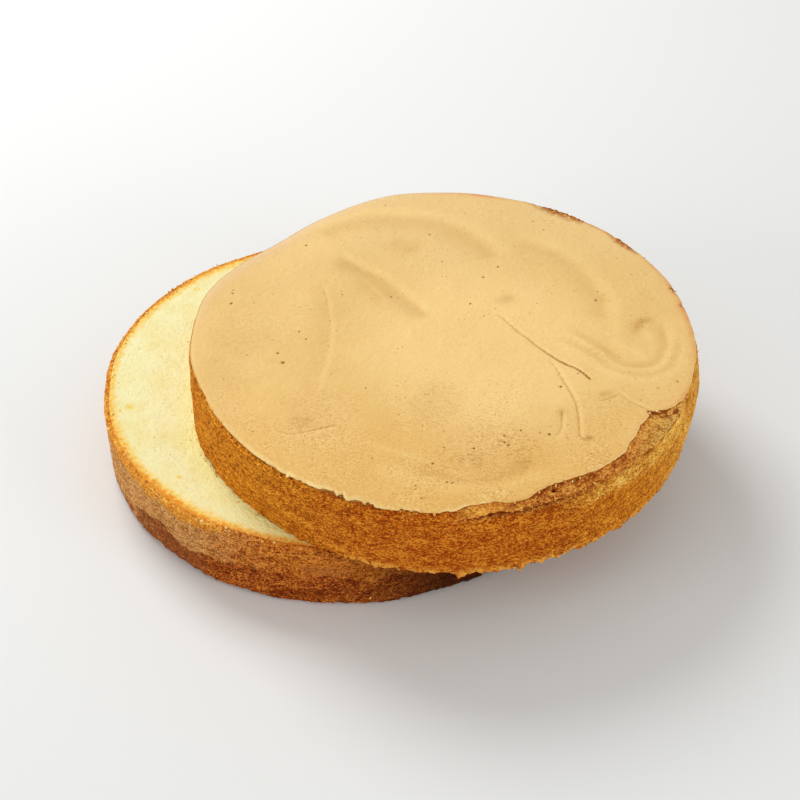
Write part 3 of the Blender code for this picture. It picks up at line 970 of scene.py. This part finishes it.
class Nodes:
    """Short ways to add and join nodes in one tree. A value may be a number, a socket or a mark's name."""

    def __init__(self, tree):
        self.tree = tree

    def add(self, kind, settings=(), **inputs):
        node = self.tree.nodes.new("ShaderNode" + kind)
        for name, value in dict(settings).items():
            setattr(node, name, value)
        for name, value in inputs.items():
            self.put(node.inputs[name.replace("_", " ")], value)
        return node

    def put(self, socket, value):
        if isinstance(value, str):
            value = self.add("Attribute", {"attribute_name": value}).outputs["Fac"]
        if isinstance(value, bpy.types.NodeSocket):
            self.tree.links.new(value, socket)
        else:
            socket.default_value = value

    def pair(self, kind, operation, a, b):
        node = self.add(kind, {"operation": operation})
        self.put(node.inputs[0], a)
        self.put(node.inputs["Scale" if operation == "SCALE" else 1], b)
        return node.outputs[0]

    def times(self, a, b):
        return self.pair("Math", "MULTIPLY", a, b)

    def plus(self, a, b):
        return self.pair("Math", "ADD", a, b)

    def minus(self, a, b):
        return self.pair("Math", "SUBTRACT", a, b)

    def spread(self, value, low, high, to_low=0, to_high=1):
        """Maps low..high to to_low..to_high with an easy curve, held at the ends."""
        node = self.add("MapRange", {"interpolation_type": "SMOOTHSTEP"}, Value=value, From_Min=low,
                        From_Max=high, To_Min=to_low, To_Max=to_high)
        return node.outputs["Result"]

    def noise(self, vector, scale, detail=2, roughness=0.5):
        node = self.add("TexNoise", Vector=vector, Scale=scale, Detail=detail, Roughness=roughness)
        return node.outputs["Fac"]

    def use(self, group_name, **inputs):
        """Places a node group and sets its inputs. Returns its outputs."""
        return self.add("Group", {"node_tree": bpy.data.node_groups[group_name]}, **inputs).outputs

    def baked(self, browning, pale, golden, dark):
        """Colours a browning with three display colours."""
        tones = {"Pale": tone(*pale), "Golden": tone(*golden), "Dark": tone(*dark)}
        return self.use("baked_tones", Browning=browning, **tones)["Color"]

    def mix(self, share, a, b):
        node = self.add("Mix", {"data_type": "RGBA"})
        for socket, value in zip([i for i in node.inputs if i.enabled], (share, a, b)):
            self.put(socket, value)
        return next(o for o in node.outputs if o.enabled)

    def coats(self, colour, *coats):
        """Lays coats over a colour: where each lies, how strong it is, and its display colour or socket."""
        for where, strength, *shown in coats:
            share = where if strength == 1 else self.times(where, strength)
            colour = self.mix(share, colour, tone(*shown) if len(shown) == 3 else shown[0])
        return colour


def group(name, inputs, outputs):
    """A new shader node group: its nodes helper, its input sockets and its output sockets."""
    tree = bpy.data.node_groups.new(name, "ShaderNodeTree")
    for title, (kind, value) in inputs.items():
        made = tree.interface.new_socket(title, in_out="INPUT", socket_type="NodeSocket" + kind)
        if value is not None:
            made.default_value = value
    for title, kind in outputs.items():
        tree.interface.new_socket(title, in_out="OUTPUT", socket_type="NodeSocket" + kind)
    entry = tree.nodes.new("NodeGroupInput")
    return Nodes(tree), entry.outputs, tree.nodes.new("NodeGroupOutput").inputs


def make_sponge_pores_group():
    """Fine open crumb: uneven pores of mixed size and the tender walls between them."""
    nodes, given, out = group(
        "sponge_pores",
        {"Vector": ("Vector", None), "Pore Size": ("Float", 0.0012), "Openness": ("Float", 0.5)},
        {"Height": "Float", "Pores": "Float"},
    )
    place = given["Vector"]
    scale = nodes.pair("Math", "DIVIDE", 1, given["Pore Size"])
    drift = nodes.add("TexNoise", Vector=place, Scale=scale, Detail=2, Roughness=0.6)
    centred = nodes.pair("VectorMath", "SUBTRACT", drift.outputs["Color"], (0.5, 0.5, 0.5))
    shove = nodes.pair("VectorMath", "SCALE", centred, nodes.times(given["Pore Size"], 1.6))
    bent = nodes.pair("VectorMath", "ADD", place, shove)
    wide = nodes.add("TexVoronoi", Vector=bent, Scale=scale)
    narrow = nodes.add("TexVoronoi", Vector=bent, Scale=nodes.times(scale, 2.3))
    shade = nodes.pair("Math", "FRACT", nodes.times(wide.outputs["Color"], 5), 0)
    reach = nodes.times(shade, given["Openness"])
    big = nodes.spread(nodes.minus(reach, wide.outputs["Distance"]), -0.1, 0.25)
    small = nodes.spread(narrow.outputs["Distance"], 0.42, 0.1)
    small = nodes.times(small, nodes.times(given["Openness"], 0.7))
    pores = nodes.pair("Math", "MAXIMUM", big, small)
    rough = nodes.noise(place, nodes.times(scale, 1.7), 3, 0.6)
    nodes.put(out["Height"], nodes.minus(nodes.times(rough, 0.6), pores))
    nodes.put(out["Pores"], pores)


def make_baked_grain_group():
    """How brown each bit of a baked side is: fine grains, wider patches, level streaks and dark dashes."""
    nodes, given, out = group(
        "baked_grain",
        {
            "Vector": ("Vector", None),
            "Grain Size": ("Float", 0.001),
            "Patch Size": ("Float", 0.01),
            "Contrast": ("Float", 4),
            "Shift": ("Float", 0),
        },
        {"Browning": "Float"},
    )
    place, patch = given["Vector"], given["Patch Size"]
    scale = nodes.pair("Math", "DIVIDE", 1, given["Grain Size"])
    level = nodes.pair("VectorMath", "MULTIPLY", place, (1, 1, 3.2))
    parts = nodes.times(nodes.noise(place, scale, 2, 0.7), 0.58)
    for weight, part in (
        (0.1, nodes.noise(place, nodes.times(scale, 0.42), 0)),
        (0.16, nodes.noise(place, nodes.pair("Math", "DIVIDE", 1, patch), 2, 0.6)),
        (0.16, nodes.noise(level, nodes.pair("Math", "DIVIDE", 0.9, patch), 3, 0.65)),
    ):
        parts = nodes.plus(parts, nodes.times(part, weight))
    dash = nodes.noise(level, nodes.times(scale, 0.33), 1, 0.6)
    strayed = nodes.times(nodes.minus(parts, 0.5), given["Contrast"])
    browning = nodes.plus(nodes.plus(strayed, 0.5), given["Shift"])
    nodes.put(out["Browning"], nodes.plus(browning, nodes.spread(dash, 0.6, 0.75, 0, 0.5)))


def make_baked_tones_group():
    """Colours a browning: pale at 0, golden half way and dark at 1."""
    colours = {title: ("Color", None) for title in ("Pale", "Golden", "Dark")}
    nodes, given, out = group("baked_tones", {"Browning": ("Float", 0.5), **colours}, {"Color": "Color"})
    light = nodes.mix(nodes.times(given["Browning"], 2), given["Pale"], given["Golden"])
    deep = nodes.times(nodes.minus(given["Browning"], 0.5), 2)
    nodes.put(out["Color"], nodes.mix(deep, light, given["Dark"]))


def new_material(name):
    """A new material, its nodes helper, its shader and the place on the object."""
    material = bpy.data.materials.new(name)
    material.use_nodes = True
    nodes = Nodes(material.node_tree)
    shader = material.node_tree.nodes["Principled BSDF"]
    return material, nodes, shader, nodes.add("TexCoord").outputs["Object"]


def finish_look(nodes, shader, colour, gloss, roughness, height, depth, strength=1):
    """Joins a colour, a roughness and a relief of some depth in metres to a shader, and sets its gloss."""
    nodes.put(shader.inputs["Base Color"], colour)
    shader.inputs["Specular IOR Level"].default_value = gloss
    nodes.put(shader.inputs["Roughness"], roughness)
    relief = nodes.add("Bump", Strength=strength, Distance=depth, Height=height)
    nodes.put(shader.inputs["Normal"], relief.outputs["Normal"])


def skin_material():
    """Thin matte baked skin: tan, browner in hollows and creases with painted shade there, paler on ridges
    and lit banks as painted highlight, with a painted pool of light, painted glints, pinholes darkened by
    painted shade, and leathery wrinkles.
    """
    material, nodes, shader, place = new_material("baked_skin")
    spread, times, plus = nodes.spread, nodes.times, nodes.plus
    drift = nodes.noise(place, 22, 4, 0.55)
    patch = nodes.noise(place, 95, 3, 0.6)
    speck = nodes.noise(place, 900, 2, 0.7)
    fleck = nodes.noise(place, 260, 3, 0.6)
    rougher = times(plus(0.2, times("front_toast_and_shade", 0.75)), spread(nodes.noise(place, 40), 0.35, 0.65, 0.5, 1.5))

    cells = nodes.add("TexVoronoi", Vector=place, Scale=140)
    tiny = nodes.add("TexVoronoi", Vector=place, Scale=330)
    holes = spread(cells.outputs["Distance"], 0.07, 0.035)
    holes = times(holes, spread(nodes.noise(place, 50, 1), 0.5, 0.56))
    where = plus(spread(nodes.noise(place, 60, 2, 0.6), 0.5, 0.62, 0, 0.7), times("wrinkled", 0.35))
    pricks = times(spread(tiny.outputs["Distance"], 0.13, 0.05), where)
    for more in (pricks, spread("pitted", 0.3, 0.75)):
        holes = nodes.pair("Math", "MAXIMUM", holes, more)

    turned = nodes.add("VectorRotate", {"rotation_type": "Z_AXIS"}, Vector=place, Angle=-WRINKLE_TURN)
    flat = nodes.pair("VectorMath", "MULTIPLY", turned.outputs["Vector"], (0.4, 1, 1))
    dashes = times(spread(nodes.noise(flat, 1000, 2, 0.6), 0.53, 0.66), "wrinkled")
    line = times(spread("crease_away", 0.5, 0.1), "crease_dark")
    colour = nodes.coats(
        tone(232, 190, 115),
        (spread(drift, 0.35, 0.68), 1, 239, 199, 128),
        (spread(patch, 0.5, 0.75), 0.35, 226, 180, 104),
        # The front painted warmer and darker: toasting with painted shade.
        (times("front_toast_and_shade", spread(drift, 0.3, 0.7, 1, 0.7)), 1, 230, 180, 98),
        ("far", 1, 231, 197, 136),
        # A painted pool of light.
        ("painted_light_pool", 0.56, 253, 216, 146),
        # Hollows painted browner: browning with painted shade.
        ("hollow_browning_and_shade", 0.66, 196, 148, 78),
        # Painted highlight on ridges, lit banks and crease lips.
        ("painted_highlight", 0.6, 255, 222, 148),
        (times("blushed", spread(patch, 0.35, 0.6, 0.4, 1)), 1, 224, 148, 84),
        ("pale_rim", 0.7, 234, 200, 160),
        (times(spread(speck, 0.5, 0.72), rougher), 1, 206, 152, 80),
        # Painted glints: pale specks of painted highlight.
        (times(spread(speck, 0.45, 0.25), rougher), 0.8, 252, 224, 162),
        (times("browned", spread(fleck, 0.4, 0.52)), 1, 166, 92, 34),
        ("wrinkled", 0.12, 214, 160, 84),
        (dashes, 0.55, 186, 122, 50),
        # Pinholes painted dark: painted shade in the holes.
        (holes, 0.75, 138, 78, 24),
        # Creases painted darker: browning with painted shade in the groove.
        (times(spread("crease_away", 1.2, 0.3), "crease_dark"), 0.5, 210, 138, 62),
        (line, 0.8, 140, 80, 24),
        (times("lit_rim", spread(patch, 0.38, 0.56, 0.35, 1)), 0.9, 255, 232, 162),
        ("edge", 1, 214, 138, 54),
        ("underside", 1, 236, 190, 100),
    )
    low = plus(holes, plus(times(dashes, 0.3), line))
    height = nodes.minus(times(nodes.noise(place, 330, 4, 0.65), 1.2), low)
    finish_look(nodes, shader, colour, 0.15, spread(speck, 0.2, 0.8, 0.65, 0.85), height, 0.0005)
    return material


def crust_grain(nodes, place, patch_size, hollow_shade, contrast):
    """A baked side's browning and its pores, with painted shade in its hollows and a contrast that may vary.
    """
    streaks = nodes.pair("VectorMath", "MULTIPLY", place, (1, 1, 1.6))
    grains = nodes.use("baked_grain", Vector=streaks, Grain_Size=0.00105, Patch_Size=patch_size,
                       Contrast=contrast, Shift=nodes.times("hollow_shade", hollow_shade))
    return grains["Browning"], nodes.use("sponge_pores", Vector=streaks, Pore_Size=0.0015, Openness=0.42)


def upper_crust_material():
    """The upper side: caramel crust, speckled and streaked, golden where torn and pale where it was cut,
    with painted shade under the skin's edge, in the fold's crease, in a deep hole and in its pores and
    hollows.
    """
    material, nodes, shader, place = new_material("upper_crust")
    spread, times = nodes.spread, nodes.times
    grains, pores = crust_grain(nodes, place, 0.010, 0.4, spread("ruddy", 0, 1, 3.7, 6.4))
    crust = nodes.baked(grains, (255, 182, 60), (213, 127, 23), (129, 60, 7))
    torn_side = nodes.baked(grains, (255, 190, 88), (216, 136, 54), (146, 70, 18))
    golden = nodes.baked(grains, (255, 232, 132), (250, 188, 76), (200, 122, 36))
    evenly = spread(grains, 0.1, 1)
    yellow = times("golden", spread(nodes.noise(place, 75, 2, 0.6), 0.36, 0.6, 0.45, 1))
    # Scorched patches, with painted shade under the skin's edge and in the fold's crease.
    burnt_and_shaded = spread(nodes.noise(place, 380, 2, 0.6), 0.62, 0.42)
    burnt_and_shaded = times(spread(nodes.plus("scorch_and_shade", burnt_and_shaded), 0.9, 1.5), spread("scorch_and_shade", 0, 0.2))
    flecks = spread(nodes.noise(place, 260, 3, 0.65), 0.42, 0.56)
    flecks = times(flecks, spread(nodes.noise(place, 60), 0.4, 0.58, 0.35, 1))
    colour = nodes.coats(
        crust,
        ("ruddy", 0.38, 184, 52, 0),
        ("torn", 1, torn_side),
        ("dusky", 0.22, 150, 62, 8),
        (yellow, 0.9, golden),
        ("bright_band", 0.85, nodes.coats(tone(255, 196, 90), (evenly, 1, 224, 136, 46))),
        ("ridge", 0.75, nodes.coats(tone(228, 188, 106), (evenly, 1, 164, 118, 52))),
        # Pores painted dark: painted shade in them.
        (times(pores["Pores"], spread("torn", 0, 1, 0.5, 0.2)), 1, 132, 58, 10),
        (burnt_and_shaded, 0.85, 146, 60, 14),
        # The hole painted dark: painted shade in it.
        (spread("hole", 0.3, 0.75), 1, 66, 24, 4),
        # Pores in the cut foot painted darker: painted shade in them.
        (times("cut", flecks), 1, nodes.coats(tone(246, 170, 68), (pores["Pores"], 0.7, 204, 116, 30))),
    )
    height = times(pores["Height"], spread("torn", 0, 1, 1, 0.45))
    finish_look(nodes, shader, colour, 0.06, spread(grains, 0.1, 0.9, 0.92, 0.72), height, 0.0007)
    return material


def lower_crust_material():
    """The lower side: pinkish tan above a rough dark band, with an orange rim at the cut, painted shade
    under the upper layer's overhang, and painted shade in its pores and hollows.
    """
    material, nodes, shader, place = new_material("lower_crust")
    spread, times, plus = nodes.spread, nodes.times, nodes.plus
    grains, pores = crust_grain(nodes, place, 0.011, 0.35, spread("overhang_shade", 0, 1, 4.2, 6.2))
    tan = nodes.baked(grains, (244, 190, 124), (211, 151, 83), (146, 77, 28))
    browner = nodes.baked(grains, (244, 160, 64), (211, 119, 35), (116, 47, 8))
    band = nodes.baked(grains, (232, 145, 60), (170, 76, 16), (80, 29, 6))
    rim = nodes.baked(grains, (254, 200, 94), (229, 147, 48), (182, 91, 16))
    band = nodes.coats(band, (spread("overhang_shade", 0, 0.5, 0.4, 0), 1, 124, 82, 50))
    ragged = nodes.minus(nodes.noise(place, 190, 4, 0.65), 0.5)
    wander = times(nodes.minus(nodes.noise(place, 420, 3, 0.6), 0.5), 5)
    colour = nodes.coats(
        tan,
        # Browner and darker under the overhang: painted shade.
        (spread(plus("overhang_shade", ragged), 0, 1), 1, browner),
        (spread(plus("dull_patch", ragged), 0.25, 0.9), 0.55, 206, 130, 58),
        (spread(plus("band", times(ragged, 1.6)), 0.25, 0.75), 1, band),
        # Pores painted dark: painted shade in them.
        (pores["Pores"], 0.4, 112, 48, 10),
        (spread(plus("rim", times(ragged, 1.6)), 0.35, 0.8), 1, rim),
        # More painted shade under the overhang.
        ("overhang_shade", 0.18, 140, 52, 6),
        ("shaded", 0.9, 54, 19, 4),
        (times(spread(plus("inward", wander), CRUST_WIDTH - 1, CRUST_WIDTH + 2.4), "rim"), 1, 246, 190, 92),
    )
    roughness = spread(grains, 0.1, 0.9, 0.92, 0.75)
    finish_look(nodes, shader, colour, 0.06, roughness, pores["Height"], 0.0007)
    return material


def cut_crumb_material():
    """Pale yellow cut crumb with a few toasted spots, yellower and then orange towards the rim, painted
    light near the seat and painted shade in its pores.
    """
    material, nodes, shader, place = new_material("cut_crumb")
    spread, times = nodes.spread, nodes.times
    blotch = nodes.noise(place, 70, 3, 0.55)
    fine = nodes.noise(place, 520, 3, 0.6)
    pores = nodes.use("sponge_pores", Vector=place, Pore_Size=0.0014, Openness=0.35)
    wander = times(nodes.minus(nodes.noise(place, 380, 3, 0.65), 0.5), 9)
    fringe = nodes.plus("fringe", wander)
    colour = nodes.coats(
        tone(246, 242, 187),
        (spread(blotch, 0.35, 0.7), 1, 243, 233, 166),
        (spread(fine, 0.5, 0.75), 0.4, 236, 214, 140),
        # Pores painted a little darker: painted shade in them.
        (pores["Pores"], 0.2, 226, 200, 126),
        # Painted lighter and greener near the seat: painted light against the upper layer's shade, with a
        # painted greenish reflection.
        (spread("seat", 14, 0), 0.6, 252, 252, 170),
        (spread("spots", 0, 0.6), 1, 244, 218, 116),
        (spread("spots", 0.35, 1), 1, 212, 156, 68),
        (spread(fringe, 8.6, 4.4), 1, 249, 211, 108),
        (spread(fringe, 5.4, 2.2), 1, 234, 152, 48),
    )
    height = nodes.plus(pores["Height"], times(fine, 0.6))
    finish_look(nodes, shader, colour, 0.1, spread(blotch, 0.2, 0.8, 0.97, 0.88), height, 0.0003, 0.6)
    return material


def loose_crumb_material():
    """Crumbs from pale to browned, each with a little mottling of its own."""
    material, nodes, shader, place = new_material("loose_crumb")
    mottle = nodes.noise(place, 900, 3, 0.6)
    tint = nodes.plus("browned", nodes.spread(mottle, 0.3, 0.7, -0.15, 0.15))
    colour = nodes.coats(
        tone(252, 228, 158),
        (nodes.spread(tint, 0, 0.45), 1, 236, 172, 82),
        (nodes.spread(tint, 0.45, 1), 1, 150, 84, 30),
    )
    finish_look(nodes, shader, colour, 0.2, nodes.spread(mottle, 0.3, 0.7, 0.95, 0.8), mottle, 0.0002, 0.8)
    return material


# ---------------- stage

CAMERA_AZIMUTH = -76.4
CAMERA_ELEVATION = 40.63
CAMERA_ROLL = 0.5
CAMERA_DISTANCE = 7.666 * TIN_RADIUS
CAMERA_LENS = 80.8

SKY_STRENGTH = 0.5

# Soft round lamps aimed at the cake: name, azimuth and elevation, distance, width, power.
LAMPS = (
    ("key", 138, 44, 1.7, 0.9, 18),
    ("fill_left", 222, 16, 1.5, 0.9, 7.5),
    ("fill_right", -20, 14, 1.5, 0.9, 7.5),
)
FLOOR_HALF = 12


def direction(azimuth, elevation):
    """The way from the middle of the scene to a place seen at these angles."""
    a, e = math.radians(azimuth), math.radians(elevation)
    return Vector((math.cos(a) * math.cos(e), math.sin(a) * math.cos(e), math.sin(e)))


def make_camera():
    """Looks down at the cake from the front, a little to its right."""
    data = bpy.data.cameras.new("camera")
    data.lens = CAMERA_LENS
    data.sensor_width = 36
    camera = add_object("camera", data)
    back = direction(CAMERA_AZIMUTH, CAMERA_ELEVATION)
    right = direction(CAMERA_AZIMUTH + 90, 0)
    roll = Matrix.Rotation(math.radians(CAMERA_ROLL), 3, "Z")
    facing = Matrix((right, back.cross(right), back)).transposed() @ roll
    target = Vector((0.189, 0.1635, 0.1)) * TIN_RADIUS
    camera.matrix_world = Matrix.Translation((target + back * CAMERA_DISTANCE) * MM) @ facing.to_4x4()
    bpy.context.scene.camera = camera


def make_floor():
    data = bpy.data.meshes.new("floor")
    corners = [(x * FLOOR_HALF, y * FLOOR_HALF, 0) for x, y in ((-1, -1), (1, -1), (1, 1), (-1, 1))]
    data.from_pydata(corners, [], [(0, 1, 2, 3)])
    material, _, shader, _ = new_material("pale_floor")
    shader.inputs["Base Color"].default_value = tone(232, 233, 231)
    shader.inputs["Roughness"].default_value = 0.9
    data.materials.append(material)
    floor = add_object("floor", data)


def make_light():
    """An even pale sky, a large soft key from high at the back left, and two low fills."""
    world = bpy.data.worlds.new("studio")
    world.use_nodes = True
    sky = world.node_tree.nodes["Background"]
    sky.inputs["Color"].default_value = (1, 1, 1, 1)
    sky.inputs["Strength"].default_value = SKY_STRENGTH
    bpy.context.scene.world = world
    for name, azimuth, elevation, distance, width, power in LAMPS:
        data = bpy.data.lights.new(name, "AREA")
        data.shape = "DISK"
        data.size = width
        data.energy = power
        aim = direction(azimuth, elevation)
        lamp = add_object(name, data)
        lamp.location = aim * distance
        lamp.rotation_euler = (-aim).to_track_quat("-Z", "Y").to_euler()
    bpy.context.scene.view_settings.view_transform = "Standard"


make_camera()
make_floor()
make_light()
make_sponge_pores_group()
make_baked_grain_group()
make_baked_tones_group()
make_upper_sponge(upper_crust_material())
make_upper_skin(skin_material())
make_lower_sponge(lower_crust_material())
make_cut_crumb(cut_crumb_material())
make_crumbs(loose_crumb_material())
